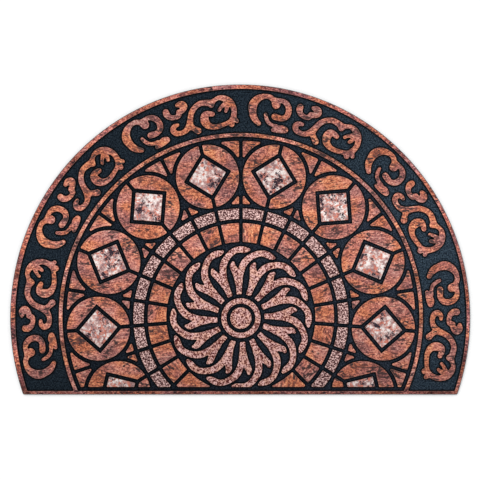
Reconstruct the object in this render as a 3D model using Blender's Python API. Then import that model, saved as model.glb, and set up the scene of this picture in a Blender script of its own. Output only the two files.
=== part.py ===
"""Half moon doormat: one rubber moulding whose stone mosaic stands up from the ground as flocked pads."""

import math
from collections import namedtuple

import bmesh
import bpy
import numpy as np
from mathutils import Matrix, Vector
from mathutils.geometry import delaunay_2d_cdt

MM = 0.001  # the plan is laid out in millimetres, and the mesh is in metres

# The half moon, measured from the centre of its arc, which is also the centre of the mosaic
OUTER_RADIUS = 457.2
FOOT = -151.5  # the straight edge
DEPTH_STRETCH = 1.0124  # the plan is this much longer from foot to crown than a true circle makes it

# Heights above the floor
GROUND_TOP = 5.0
PAD_TOP = 8.0
EDGE_CHAMFER = 1.0

# Raised borders
RIM_INSIDE = 448.6
FOOT_RIM_TOP = -144.6
THIN_RING = (354.6, 362.0)  # inner and outer radius
PATTERN_SHIFT = 1.5  # all that lies inside the rim sits this far right of the middle

# The mosaic inside the thin ring
MOSAIC_FOOT = -136.8  # pads end here, a groove above the foot's rim
GROOVE = 7.2
DISC_RADIUS = 21.2
HUB_RING = (28.5, 39.2)
PETAL_ROOT = 46.8  # radius where the petals are cut off
ROSETTE_DROP = 1.5  # the petals and the hub sit this far below the mosaic's centre
SQUARE_TILES = (148.0, 185.3)
SPECKLED_TILES = (193.0, 214.0)
TILE_PITCH = 13.5  # degrees
LAST_GROOVE = 10  # the radial groove furthest from the crown, on each side
CIRCLES = 10
CIRCLE_PLACE = 284.1  # from the mosaic's centre to a circle's
CIRCLE_RADIUS = 62.7
DIAMOND_OPENING = 48.5  # half diagonal of the gap in a circle
DIAMOND = 38.0  # half diagonal of the pad in that gap
SPANDREL_CLEARANCE = 7.9  # from a circle to the three-cornered pads around it
SPANDREL_INSIDE = 222.5
SPANDREL_OUTSIDE = 346.5
PETALS = 16
SCROLLS = 6
SCROLL_PITCH = 36.3  # degrees

# How finely outlines are drawn
CHORD_ERROR = 0.6
STROKE_ERROR = 0.8
CELL = 1.0  # of the grid that strokes are merged on
CURVE_STEPS = 4  # pieces of a stroke between two stations
FILLET = 3.0  # in the inner corners where strokes meet
TIP_RADIUS = 2.2  # of the corners of three-cornered pads
SHARP_TURN = 50.0  # degrees, from which such a corner is rounded
NARROW_TIP = 60.0  # degrees, below which the rounding takes a point more
LONGEST_CUT = 0.9  # share of a side that the rounding may take

# Strokes are lists of stations. Across is clockwise around the mat, and out is away from its centre.
Station = namedtuple("Station", "across out width")

PETAL = {
    "stem and long arm": (
        Station(-3.5, 45.0, 10.2),
        Station(-3.5, 52.4, 11.0),
        Station(-3.6, 62.0, 12.0),
        Station(-4.2, 73.0, 14.6),
        Station(-2.6, 84.0, 14.4),
        Station(0.9, 94.5, 13.2),
        Station(4.6, 104.3, 13.8),
        Station(9.5, 111.6, 13.9),
        Station(16.4, 117.8, 13.0),
        Station(25.8, 123.2, 12.2),
        Station(36.0, 126.6, 12.0),
        Station(44.8, 126.6, 12.2),
        Station(52.2, 124.3, 12.8),
        Station(59.2, 120.6, 11.6),
        Station(66.0, 117.9, 5.8),
    ),
    "short branch": (
        Station(-4.4, 73.0, 14.2),
        Station(-8.0, 84.0, 14.6),
        Station(-12.6, 94.6, 13.6),
        Station(-16.2, 102.0, 11.6),
        Station(-15.6, 108.6, 6.2),
    ),
}

# The four pads of a scroll unit, which repeats around the border
SCROLL_ARCH = {
    "crescent": (
        Station(-85.0, 373.0, 9.0),
        Station(-92.5, 377.0, 11.5),
        Station(-99.0, 383.0, 14.0),
        Station(-103.5, 391.0, 14.5),
        Station(-106.5, 400.0, 17.0),
        Station(-106.3, 409.0, 16.5),
        Station(-101.5, 418.5, 14.0),
        Station(-94.0, 425.2, 11.0),
        Station(-86.5, 428.2, 9.5),
        Station(-79.2, 429.0, 10.0),
        Station(-70.0, 425.0, 11.0),
        Station(-63.5, 418.8, 17.0),
    ),
    "hook": (
        Station(-66.0, 427.0, 9.0),
        Station(-54.0, 429.3, 9.0),
        Station(-45.0, 427.0, 11.0),
        Station(-38.0, 420.5, 11.5),
        Station(-35.2, 411.0, 12.0),
        Station(-37.0, 402.0, 11.5),
        Station(-44.5, 396.0, 10.8),
        Station(-53.0, 395.2, 12.0),
        Station(-59.5, 395.3, 12.0),
    ),
}
SCROLL_LEAF = {
    "stalk": (
        Station(-77.5, 394.0, 6.5),
        Station(-73.5, 387.0, 7.5),
        Station(-67.0, 380.5, 7.5),
        Station(-58.0, 378.0, 7.0),
        Station(-50.0, 377.8, 9.0),
    ),
    "blade": (
        Station(-54.0, 369.3, 7.5),
        Station(-46.0, 372.5, 12.0),
        Station(-38.0, 376.0, 15.5),
        Station(-31.0, 376.8, 12.0),
    ),
}
SCROLL_BUD = {
    "arm": (
        Station(-16.2, 429.0, 12.5),
        Station(-16.3, 424.0, 12.8),
        Station(-13.0, 418.4, 11.3),
        Station(-9.1, 415.4, 10.0),
        Station(-5.5, 414.2, 9.4),
        Station(0.0, 413.3, 9.2),
        Station(5.8, 415.3, 10.6),
        Station(8.0, 421.2, 9.6),
    ),
    "lobe": (
        Station(9.0, 421.0, 9.0),
        Station(15.5, 422.5, 11.0),
        Station(20.3, 429.0, 15.8),
        Station(16.6, 434.4, 13.6),
        Station(9.2, 435.2, 7.8),
    ),
}
SCROLL_WAVE = {
    "tail and crown": (
        Station(-2.0, 398.0, 7.0),
        Station(-9.0, 397.0, 9.5),
        Station(-13.8, 391.0, 11.5),
        Station(-10.0, 383.5, 11.0),
        Station(-1.0, 380.6, 9.5),
        Station(8.0, 381.5, 10.0),
        Station(16.0, 386.0, 12.0),
        Station(22.0, 393.0, 13.0),
        Station(26.5, 403.0, 11.0),
        Station(33.0, 413.5, 11.0),
        Station(44.0, 421.5, 10.5),
        Station(55.0, 424.0, 11.0),
        Station(66.0, 421.5, 12.0),
        Station(75.0, 419.0, 12.0),
        Station(83.0, 421.5, 8.5),
        Station(92.0, 423.3, 9.0),
        Station(102.0, 419.0, 12.0),
        Station(110.5, 410.0, 13.0),
        Station(114.0, 399.0, 11.5),
        Station(113.5, 389.0, 10.5),
        Station(108.0, 378.0, 11.0),
        Station(99.0, 372.0, 9.0),
        Station(88.0, 370.5, 8.5),
        Station(76.0, 370.0, 9.5),
        Station(65.0, 372.0, 10.5),
        Station(55.0, 379.0, 14.0),
        Station(52.0, 389.0, 17.0),
        Station(55.0, 398.0, 15.0),
        Station(62.0, 400.0, 12.0),
        Station(70.5, 396.7, 9.5),
    ),
    "bump": (Station(74.0, 417.0, 11.0), Station(74.0, 414.5, 11.0)),
    "foot": (Station(22.0, 388.0, 11.0), Station(28.0, 380.0, 11.0), Station(33.5, 374.5, 13.0)),
    "upper tendril": (
        Station(106.0, 410.0, 10.0),
        Station(97.0, 407.0, 8.0),
        Station(90.0, 403.5, 6.5),
        Station(86.0, 400.0, 6.5),
    ),
    "lower tendril": (Station(104.0, 406.0, 9.0), Station(101.5, 399.0, 8.0), Station(97.5, 394.0, 6.5)),
    "inner knob": (Station(101.5, 369.5, 11.0), Station(101.0, 366.0, 11.0)),
    "outer knob": (Station(110.0, 374.0, 8.0), Station(112.5, 369.0, 8.0)),
}
SCROLL_PADS = (SCROLL_ARCH, SCROLL_LEAF, SCROLL_BUD, SCROLL_WAVE)

# Finishes: colour, roughness
RUBBER = "black rubber"
COPPER = "copper flock"
GRANITE = "rose granite flock"
SPECKLED = "speckled flock"
MARBLE = "marble flock"
FINISHES = {
    RUBBER: ((0.012, 0.023, 0.032), 0.85),
    COPPER: ((0.47, 0.165, 0.085), 0.95),
    GRANITE: ((0.56, 0.30, 0.23), 0.95),
    SPECKLED: ((0.38, 0.24, 0.22), 0.95),
    MARBLE: ((0.72, 0.58, 0.53), 0.95),
}

# An area of the plan, which stands up as a pad unless its finish is bare rubber
Area = namedtuple("Area", "outline finish")


def polar(radius, bearing):
    """The point at this radius, at a bearing in degrees clockwise from the crown."""
    angle = math.radians(bearing)
    return Vector((radius * math.sin(angle), radius * math.cos(angle)))


def turned(outline, bearing):
    """An outline drawn at the crown, carried clockwise around the mat."""
    angle = math.radians(bearing)
    across = Vector((math.cos(angle), -math.sin(angle)))
    out = Vector((math.sin(angle), math.cos(angle)))
    return [across * x + out * y for x, y in outline]


def mirrored(outline):
    """The outline with left and right changed over, still counter-clockwise."""
    return [Vector((-x, y)) for x, y in reversed(outline)]


def arc(radius, start, end, centre=(0.0, 0.0)):
    """Points along an arc between two bearings, both ends included."""
    widest = 2 * math.degrees(math.acos(1 - CHORD_ERROR / radius))
    pieces = max(1, math.ceil(abs(end - start) / widest))
    turn = (end - start) / pieces
    return [Vector(centre) + polar(radius, start + turn * step) for step in range(pieces + 1)]


def circle(radius):
    """A whole circle about the mosaic's centre, counter-clockwise."""
    return arc(radius, 0.0, -360.0)[:-1]


def bearing_at_height(radius, height):
    """Where an arc comes down to a height: the bearing on the clockwise side."""
    return math.degrees(math.acos(height / radius))


def segment(radius, foot):
    """A half moon: the part of a disc above a straight foot."""
    end = bearing_at_height(radius, foot)
    return arc(radius, end, -end)


def rounded(outline, radius):
    """The outline with each sharp corner replaced by two or three points of an arc."""
    count = len(outline)
    softened = []
    for index, corner in enumerate(outline):
        back = outline[index - 1] - corner
        ahead = outline[(index + 1) % count] - corner
        opening = back.angle(ahead)
        if math.degrees(math.pi - opening) < SHARP_TURN:
            softened.append(corner)
            continue
        longest = LONGEST_CUT * min(back.length, ahead.length)
        reach = min(radius / math.tan(opening / 2), longest)
        first = corner + back.normalized() * reach
        last = corner + ahead.normalized() * reach
        middle = corner + ((first + last) / 2 - corner) / (1 + math.sin(opening / 2))
        narrow = math.degrees(opening) < NARROW_TIP
        softened += [first, middle, last] if narrow else [first, last]
    return softened


def above_mosaic_foot(outline):
    """The part of an outline above the straight line where the mosaic is cut off, or nothing."""
    kept = []
    for index, point in enumerate(outline):
        before = outline[index - 1]
        if (before.y > MOSAIC_FOOT) != (point.y > MOSAIC_FOOT):
            kept.append(before.lerp(point, (MOSAIC_FOOT - before.y) / (point.y - before.y)))
        if point.y > MOSAIC_FOOT:
            kept.append(point)
    return kept


def tile(radii, first, last):
    """A pad between two radial grooves, whose sides run parallel to them."""
    inner, outer = radii
    inner_inset = math.degrees(math.asin(GROOVE / 2 / inner))
    outer_inset = math.degrees(math.asin(GROOVE / 2 / outer))
    return arc(outer, last - outer_inset, first + outer_inset) + arc(
        inner, first + inner_inset, last - inner_inset
    )


def tile_ring(radii, last_bearing):
    """A ring of tiles between the radial grooves, with a longer tile past the last groove on each side."""
    grooves = [TILE_PITCH * step for step in range(-LAST_GROOVE, LAST_GROOVE + 1)]
    bearings = [-last_bearing, *grooves, last_bearing]
    return [tile(radii, first, last) for first, last in zip(bearings, bearings[1:])]


def circle_half():
    """The clockwise half of a circle, with half of the diamond opening cut out of its straight side."""
    side = GROOVE / 2
    end = math.degrees(math.asin(side / CIRCLE_RADIUS))
    centre = (0.0, CIRCLE_PLACE)
    opening = [(side, DIAMOND_OPENING - side), (DIAMOND_OPENING, 0.0), (side, side - DIAMOND_OPENING)]
    return arc(CIRCLE_RADIUS, 180 - end, end, centre) + [Vector((x, CIRCLE_PLACE + y)) for x, y in opening]


def diamond():
    """The marble pad in the middle of a circle."""
    return [polar(DIAMOND, -90.0 * step) + Vector((0.0, CIRCLE_PLACE)) for step in range(4)]


def spandrel(border, outwards):
    """A three-cornered pad beside the groove between two circles, clockwise of it, up to a border's radius."""
    side = GROOVE / 2
    centre = polar(CIRCLE_PLACE, TILE_PITCH)
    reach = CIRCLE_RADIUS + SPANDREL_CLEARANCE
    tip = math.degrees(math.asin((centre.x - side) / reach))
    along = (CIRCLE_PLACE**2 + border**2 - reach**2) / (2 * CIRCLE_PLACE * border)
    meeting = polar(border, TILE_PITCH - math.degrees(math.acos(along)))
    offset = meeting - centre
    end = math.degrees(math.atan2(-offset.x, abs(offset.y)))
    border_start = math.degrees(math.asin(side / border))
    border_end = math.degrees(math.atan2(meeting.x, meeting.y))
    if outwards:
        hollow = arc(reach, -tip, -end, centre)
        edge = arc(border, border_end, border_start)[1:]
    else:
        hollow = arc(reach, end - 180.0, tip - 180.0, centre)
        edge = arc(border, border_start, border_end)[:-1]
    return rounded(hollow + edge, TIP_RADIUS)


def curve_through(stations):
    """A smooth line through the stations, as rows of across, out and half width."""
    rows = np.array(stations, float)
    rows[:, 2] /= 2
    padded = np.vstack([2 * rows[0] - rows[1], rows, 2 * rows[-1] - rows[-2]])
    line = []
    for p0, p1, p2, p3 in zip(padded, padded[1:], padded[2:], padded[3:]):
        for t in np.arange(CURVE_STEPS) / CURVE_STEPS:
            bend = (2 * p0 - 5 * p1 + 4 * p2 - p3) * t**2 + (3 * p1 - p0 - 3 * p2 + p3) * t**3
            line.append(p1 + ((p2 - p0) * t + bend) / 2)
    line.append(rows[-1])
    return np.array(line)


def outside_by(points, stations):
    """How far each point lies outside a stroke, and below zero within it."""
    line = curve_through(stations)
    nearest = np.full(len(points), np.inf)
    for start, end in zip(line, line[1:]):
        run = end[:2] - start[:2]
        share = np.clip((points - start[:2]) @ run / (run @ run), 0.0, 1.0)
        gap = np.linalg.norm(points - start[:2] - share[:, None] * run, axis=1)
        nearest = np.minimum(nearest, gap - start[2] - share * (end[2] - start[2]))
    return nearest


def merged(points, strokes):
    """How far each point lies outside a pad made of strokes, whose inner corners are filled."""
    together = np.full(len(points), np.inf)
    for stations in strokes.values():
        stroke = outside_by(points, stations)
        overlap = np.maximum(FILLET - np.abs(together - stroke), 0.0)
        together = np.minimum(together, stroke) - overlap**2 / (4 * FILLET)
    return together


def pad_of(strokes, root=0.0):
    """The outline around strokes, beyond a root radius: a grid raised to the distance from them, cut at zero."""
    rows = np.array([station for stations in strokes.values() for station in stations])
    margin = rows[:, 2].max() / 2 + 2 * CELL
    low = rows[:, :2].min(axis=0) - margin
    size = rows[:, :2].max(axis=0) + margin - low
    columns, lines = (int(math.ceil(length / CELL)) for length in size)
    grid = bmesh.new()
    bmesh.ops.create_grid(grid, x_segments=columns, y_segments=lines, size=0.5)
    places = np.array([vertex.co.xy for vertex in grid.verts])
    places = low + (places + 0.5) * size
    heights = np.maximum(merged(places, strokes), root - np.linalg.norm(places, axis=1))
    for vertex, place, height in zip(grid.verts, places, heights):
        vertex.co = (*place, height)
    bmesh.ops.triangulate(grid, faces=grid.faces[:])
    whole = grid.verts[:] + grid.edges[:] + grid.faces[:]
    bmesh.ops.bisect_plane(grid, geom=whole, plane_co=(0, 0, 0), plane_no=(0, 0, 1), clear_outer=True)
    outline = simplified(longest_border(grid), STROKE_ERROR)
    grid.free()
    return outline


def longest_border(mesh):
    """The longest closed border of a flat mesh, counter-clockwise."""
    after = {}
    for edge in mesh.edges:
        if edge.is_boundary:
            loop = edge.link_loops[0]
            after[loop.vert] = loop.link_loop_next.vert
    borders = []
    while after:
        vertex = next(iter(after))
        border = []
        while vertex in after:
            border.append(vertex.co.xy)
            vertex = after.pop(vertex)
        borders.append(border)
    return max(borders, key=len)


def simplified(outline, error):
    """The fewest points of a closed outline that stay within an error of it."""
    far = max(range(len(outline)), key=lambda index: (outline[index] - outline[0]).length)
    return thinned(outline[: far + 1], error)[:-1] + thinned(outline[far:] + outline[:1], error)[:-1]


def thinned(line, error):
    """The fewest points of an open line that stay within an error of it, with both its ends."""
    start, end = line[0], line[-1]
    run = (end - start).normalized()
    gaps = [abs(run.cross(point - start)) for point in line]
    worst = max(range(len(line)), key=gaps.__getitem__)
    if gaps[worst] <= error:
        return [start, end]
    return thinned(line[: worst + 1], error)[:-1] + thinned(line[worst:], error)


def scroll_ground():
    """The bare band between the rim and the thin ring."""
    rim_end = bearing_at_height(RIM_INSIDE, FOOT_RIM_TOP)
    ring_end = bearing_at_height(THIN_RING[1], FOOT_RIM_TOP)
    return arc(RIM_INSIDE, rim_end, -rim_end) + arc(THIN_RING[1], -ring_end, ring_end)


def rosette_areas():
    """The whirl of petals around the hub."""
    petal = pad_of(PETAL, PETAL_ROOT)
    petals = [Area(turned(petal, 360.0 / PETALS * step), GRANITE) for step in range(PETALS)]
    hub = [
        Area(circle(HUB_RING[1]), GRANITE),
        Area(circle(HUB_RING[0]), RUBBER),
        Area(circle(DISC_RADIUS), GRANITE),
    ]
    drop = Vector((0.0, -ROSETTE_DROP))
    return [Area([point + drop for point in area.outline], area.finish) for area in petals + hub]


def tile_areas():
    """The two rings of tiles. The square ones reach further down, where the mosaic's foot cuts them."""
    square_end = bearing_at_height(SQUARE_TILES[0], MOSAIC_FOOT)
    speckled_end = (LAST_GROOVE + 1) * TILE_PITCH
    square = [Area(outline, COPPER) for outline in tile_ring(SQUARE_TILES, square_end)]
    speckled = [Area(outline, SPECKLED) for outline in tile_ring(SPECKLED_TILES, speckled_end)]
    return square + speckled


def circle_areas():
    """The circles with their diamonds, and the three-cornered pads between them."""
    half = circle_half()
    areas = []
    for step in range(CIRCLES):
        bearing = 2 * TILE_PITCH * (step - (CIRCLES - 1) / 2)
        areas.append(Area(turned(half, bearing), COPPER))
        areas.append(Area(turned(mirrored(half), bearing), COPPER))
        areas.append(Area(turned(diamond(), bearing), MARBLE))
    for step in range(CIRCLES + 1):
        bearing = 2 * TILE_PITCH * (step - CIRCLES / 2)
        for corner in (spandrel(SPANDREL_OUTSIDE, True), spandrel(SPANDREL_INSIDE, False)):
            areas.append(Area(turned(corner, bearing), COPPER))
            areas.append(Area(turned(mirrored(corner), bearing), COPPER))
    return areas


def scroll_areas():
    """The scrolls of the border, all running the same way round."""
    outlines = [pad_of(strokes) for strokes in SCROLL_PADS]
    bearings = [SCROLL_PITCH * (step - (SCROLLS - 1) / 2) for step in range(SCROLLS)]
    return [Area(turned(outline, bearing), COPPER) for bearing in bearings for outline in outlines]


def plan():
    """Every area of the mat, each one after the area that it lies in."""
    ground = [Area(scroll_ground(), RUBBER), Area(segment(THIN_RING[0], FOOT_RIM_TOP), RUBBER)]
    pads = tile_areas() + circle_areas() + rosette_areas()
    mosaic = [Area(above_mosaic_foot(area.outline), area.finish) for area in pads]
    pattern = ground + scroll_areas() + [area for area in mosaic if area.outline]
    shift = Vector((PATTERN_SHIFT, 0.0))
    rim_top = Area(segment(OUTER_RADIUS - EDGE_CHAMFER, FOOT + EDGE_CHAMFER), COPPER)
    return [rim_top] + [Area([point + shift for point in area.outline], area.finish) for area in pattern]


def flat_faces(mesh, areas):
    """The plan as triangles at the ground's height. Returns those that stand up as pads."""
    points = []
    loops = []
    for area in areas:
        loops.append(list(range(len(points), len(points) + len(area.outline))))
        points += area.outline
    places, _, triangles, _, _, around = delaunay_2d_cdt(points, [], loops, 1, 1e-4)
    vertices = [mesh.verts.new((x, y, GROUND_TOP)) for x, y in places]
    finishes = list(FINISHES)
    raised = []
    for triangle, containers in zip(triangles, around):
        if not containers:
            continue
        finish = areas[max(containers)].finish
        face = mesh.faces.new([vertices[index] for index in triangle])
        face.material_index = finishes.index(finish)
        if finish != RUBBER:
            raised.append(face)
    return raised


def raise_pads(mesh, raised):
    """Lifts the pads off the ground, on upright walls of rubber."""
    before = set(mesh.faces)
    lifted = bmesh.ops.extrude_face_region(mesh, geom=raised, use_keep_orig=True)["geom"]
    tops = [part for part in lifted if isinstance(part, bmesh.types.BMFace)]
    corners = [part for part in lifted if isinstance(part, bmesh.types.BMVert)]
    bmesh.ops.translate(mesh, verts=corners, vec=(0, 0, PAD_TOP - GROUND_TOP))
    for wall in set(mesh.faces) - before - set(tops):
        wall.material_index = 0
    bmesh.ops.delete(mesh, geom=raised, context="FACES")


def close_underside(mesh):
    """Slopes the rim out to the mat's edge, carries the edge down to the floor and closes the flat underside."""
    edges = [edge for edge in mesh.edges if edge.is_boundary]
    for corner in {corner for edge in edges for corner in edge.verts}:
        on_foot = corner.co.y < FOOT + 2 * EDGE_CHAMFER
        corner.co *= OUTER_RADIUS / (OUTER_RADIUS - EDGE_CHAMFER)
        corner.co.y = FOOT if on_foot else corner.co.y
        corner.co.z = PAD_TOP - EDGE_CHAMFER
    wall = bmesh.ops.extrude_edge_only(mesh, edges=edges)["geom"]
    for part in wall:
        if isinstance(part, bmesh.types.BMVert):
            part.co.z = 0.0
    bmesh.ops.contextual_create(mesh, geom=[part for part in wall if isinstance(part, bmesh.types.BMEdge)])


def doormat():
    """The mat as one closed solid, its underside on the floor and its middle over the origin."""
    mesh = bmesh.new()
    raise_pads(mesh, flat_faces(mesh, plan()))
    close_underside(mesh)
    bmesh.ops.recalc_face_normals(mesh, faces=mesh.faces)
    data = bpy.data.meshes.new("doormat")
    mesh.to_mesh(data)
    mesh.free()
    middle = (FOOT + OUTER_RADIUS) / 2
    data.transform(Matrix.Diagonal((MM, DEPTH_STRETCH * MM, MM, 1)) @ Matrix.Translation((0, -middle, 0)))
    for name in FINISHES:
        data.materials.append(flock(name))
    mat = bpy.data.objects.new("doormat", data)
    bpy.context.scene.collection.objects.link(mat)


def flock(name):
    """A plain material of one of the mat's finishes."""
    colour, roughness = FINISHES[name]
    material = bpy.data.materials.new(name)
    material.use_nodes = True
    surface = material.node_tree.nodes["Principled BSDF"]
    surface.inputs["Base Color"].default_value = (*colour, 1.0)
    surface.inputs["Roughness"].default_value = roughness
    surface.inputs["Metallic"].default_value = 0.0
    return material


def main():
    for thing in list(bpy.data.objects):
        bpy.data.objects.remove(thing, do_unlink=True)
    doormat()


main()
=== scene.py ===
"""Half moon doormat: a black rubber moulding whose raised stone mosaic is flocked, laid on a pale floor."""

import math
import random

import bmesh
import bpy
import numpy as np
from bpy.props import FloatProperty, FloatVectorProperty, IntProperty, PointerProperty
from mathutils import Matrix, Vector, noise
from mathutils.geometry import delaunay_2d_cdt
from mathutils.kdtree import KDTree


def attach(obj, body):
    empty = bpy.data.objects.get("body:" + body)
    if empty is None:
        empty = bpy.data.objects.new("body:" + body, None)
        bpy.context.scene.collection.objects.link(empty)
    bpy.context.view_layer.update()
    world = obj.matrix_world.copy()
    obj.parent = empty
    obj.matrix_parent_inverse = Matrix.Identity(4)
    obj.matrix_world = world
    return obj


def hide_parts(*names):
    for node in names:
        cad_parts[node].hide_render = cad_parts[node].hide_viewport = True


bl_info = {
    "name": "Half Moon Doormat",
    "version": (1, 0, 0),
    "blender": (4, 5, 0),
    "location": "3D View > Sidebar > Doormat",
    "description": "Builds a half-round rubber doormat with a flocked stone mosaic in relief",
    "category": "Object",
}

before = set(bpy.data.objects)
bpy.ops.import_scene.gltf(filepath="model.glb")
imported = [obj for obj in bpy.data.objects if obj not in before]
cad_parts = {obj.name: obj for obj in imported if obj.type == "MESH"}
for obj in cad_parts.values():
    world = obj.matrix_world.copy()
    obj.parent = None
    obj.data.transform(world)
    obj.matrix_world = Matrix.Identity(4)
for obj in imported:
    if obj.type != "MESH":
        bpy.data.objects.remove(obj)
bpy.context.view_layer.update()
MM = 0.001  # outlines are laid out in millimetres, and meshes are in metres

# The half moon, measured from the centre of its arc, which is also the centre of the mosaic
OUTER_RADIUS = 457.2
FOOT = -151.5  # the straight edge
DEPTH_STRETCH = 1.0124
ARC_CENTRE = Vector((0.0, -DEPTH_STRETCH * (FOOT + OUTER_RADIUS) / 2)) * MM
MAT_CORNER = 2.6  # radius of the two corners

# Raised borders
RIM_INSIDE = 448.6
FOOT_RIM_TOP = -144.6
THIN_RING = (354.6, 362.0)  # inner and outer radius
RUBBER_LIP = 0.7  # of bare rubber outside the rim

# The mosaic inside the thin ring
MOSAIC_FOOT = -136.8
GROOVE = 7.2
DISC_RADIUS = 21.2
HUB_RING = (28.5, 39.2)
PETAL_ROOT = 46.8
ROSETTE_DROP = 1.5  # the petals and the hub sit this far below the mosaic's centre
SQUARE_TILES = (148.0, 185.3)
LONG_TILE = 2.5  # pitches that the last tile on each side would run, were it not for the foot
SPECKLED_TILES = (193.0, 214.0)
CIRCLE_PLACE = 284.1
CIRCLE_RADIUS = 62.7
DIAMOND_OPENING = 48.5
DIAMOND = 38.0
SPANDREL_CLEARANCE = 7.9
SPANDREL_INSIDE = 222.5
SPANDREL_OUTSIDE = 346.5

# How finely outlines are drawn
CHORD_ERROR = 0.02
LONGEST_CHORD = 4.0
STROKE_ERROR = 0.05
CELL = 0.5  # of the grid that strokes are merged on
CURVE_STEPS = 5
FILLET = 3.0  # in the inner corners where strokes meet
TIP_RADIUS = 2.2
TIP_STEPS = 4
SHARP_TURN = 40.0  # degrees, from which a corner is rounded
ARC_CLEARANCE = 1.1  # reaches of a sharp corner's arc, within which other points are dropped
LONE_SHARE = 0.95  # of a side, which the arc of its only sharp corner takes at most
SHARED_SHARE = 0.49  # of a side between two sharp corners
CORNER_RADIUS = 1.5  # of pads with square corners

# Pads and the ground
SHARPEST = 0.2  # keeps the mitre of a narrow corner short
SHARES = (1.0, 0.9, 0.8, 0.7, 0.5, 0.3)  # of a full inset, which are tried in turn on a narrow pad
SHOULDER_TURNS = (0.4, 0.8, 1.15, 1.57)  # radians, over a pad's rounded shoulder
PLATEAU = 1.4  # shoulder widths from a pad's edge, where its flat top starts
SMOOTHEST = 42.0  # degrees between faces, from which their edge stays sharp
LIP_DROP = 1.0  # from the pads' tops down to the rubber lip around them
LATTICE = 3.0  # between the ground's points
LATTICE_SHARE = 0.985  # of the outline's size
LATTICE_REACH = OUTER_RADIUS - 4.0
MARK_SPACING = 0.8  # along the pads' outlines
BESIDE_PADS = 0.5  # where the ground stays even
FAR_FROM_PADS = 14.0
COARSE_RIPPLE = 11.0
FINE_RIPPLE = 4.0
MERGED = 1e-9  # metres

# How prints are cut from the stone, in radians and millimetres
SEED = 7
SLANT = 0.12
TURNED_SHARE = 0.3  # of the square tiles
TURNS = (0.6, 1.5)
STONE = 900.0  # half its width
HUB_CUT = (120.0, 40.0, 0.0)

# Where a finish changes, from not at all to fully, in millimetres
# Painted light across the middle of the mat, and painted shade towards the foot
LIT_BAND_ABOVE = (-120.0, 10.0)  # across the middle of the mat, between two heights
LIT_BAND_BELOW = (160.0, 40.0)
DARK_BELOW = (-130.0, -300.0)  # towards the foot
FOOT_RIM = (-294.0, -300.0)
RIMS_BEYOND = (THIN_RING[1] + 8.0, THIN_RING[1] + 16.0)  # from the mosaic's centre
LIGHTER_RIGHT = (-150.0, 380.0)
# Painted shade on the ground beside the pads, fading out between these distances
PAD_SHADE_FADE = (0.6, 4.6)  # from the nearest pad
BARE_EDGE = (0.5, 0.1)  # inwards from a pad's edge
# Where the painted highlight along a pad's shoulder fades, inwards from its edge
EDGE_HIGHLIGHT = (1.2, 0.6)

# The fine grain of the surfaces, in millimetres, and the depth of its bumps in metres
PILE_GRAIN = 0.85
PILE_DEPTH = 0.0008
RUBBER_GRAIN = 0.8
RUBBER_DEPTH = 0.0004

# Light and camera
LAMP_WIDTH = math.radians(40)
LAMP_TILT = (math.radians(-12), math.radians(-10), 0.0)
SENSOR_WIDTH = 36.0
CAMERA_BASE = 0.007  # metres above the floor, where the picture is as wide as its seen width

# Strokes, each as stations of across (clockwise around the mat), out (away from its centre) and width
PETAL = {
    "stem and long arm": [
        (-3.5, 45.0, 10.2), (-3.5, 52.4, 11.0), (-3.6, 62.0, 12.0), (-4.2, 73.0, 14.6),
        (-2.6, 84.0, 14.4), (0.9, 94.5, 13.2), (4.6, 104.3, 13.8), (9.5, 111.6, 13.9),
        (16.4, 117.8, 13.0), (25.8, 123.2, 12.2), (36.0, 126.6, 12.0), (44.8, 126.6, 12.2),
        (52.2, 124.3, 12.8), (59.2, 120.6, 11.6), (66.0, 117.9, 5.8),
    ],
    "short branch": [
        (-4.4, 73.0, 14.2), (-8.0, 84.0, 14.6), (-12.6, 94.6, 13.6), (-16.2, 102.0, 11.6),
        (-15.6, 108.6, 6.2),
    ],
}

# The four pads of a scroll unit, which repeats around the border
SCROLL_ARCH = {
    "crescent": [
        (-85.0, 373.0, 9.0), (-92.5, 377.0, 11.5), (-99.0, 383.0, 14.0), (-103.5, 391.0, 14.5),
        (-106.5, 400.0, 17.0), (-106.3, 409.0, 16.5), (-101.5, 418.5, 14.0), (-94.0, 425.2, 11.0),
        (-86.5, 428.2, 9.5), (-79.2, 429.0, 10.0), (-70.0, 425.0, 11.0), (-63.5, 418.8, 17.0),
    ],
    "hook": [
        (-66.0, 427.0, 9.0), (-54.0, 429.3, 9.0), (-45.0, 427.0, 11.0), (-38.0, 420.5, 11.5),
        (-35.2, 411.0, 12.0), (-37.0, 402.0, 11.5), (-44.5, 396.0, 10.8), (-53.0, 395.2, 12.0),
        (-59.5, 395.3, 12.0),
    ],
}
SCROLL_LEAF = {
    "stalk": [
        (-77.5, 394.0, 6.5), (-73.5, 387.0, 7.5), (-67.0, 380.5, 7.5), (-58.0, 378.0, 7.0),
        (-50.0, 377.8, 9.0),
    ],
    "blade": [
        (-54.0, 369.3, 7.5), (-46.0, 372.5, 12.0), (-38.0, 376.0, 15.5), (-31.0, 376.8, 12.0),
    ],
}
SCROLL_BUD = {
    "arm": [
        (-16.2, 429.0, 12.5), (-16.3, 424.0, 12.8), (-13.0, 418.4, 11.3), (-9.1, 415.4, 10.0),
        (-5.5, 414.2, 9.4), (0.0, 413.3, 9.2), (5.8, 415.3, 10.6), (8.0, 421.2, 9.6),
    ],
    "lobe": [
        (9.0, 421.0, 9.0), (15.5, 422.5, 11.0), (20.3, 429.0, 15.8), (16.6, 434.4, 13.6),
        (9.2, 435.2, 7.8),
    ],
}
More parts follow.
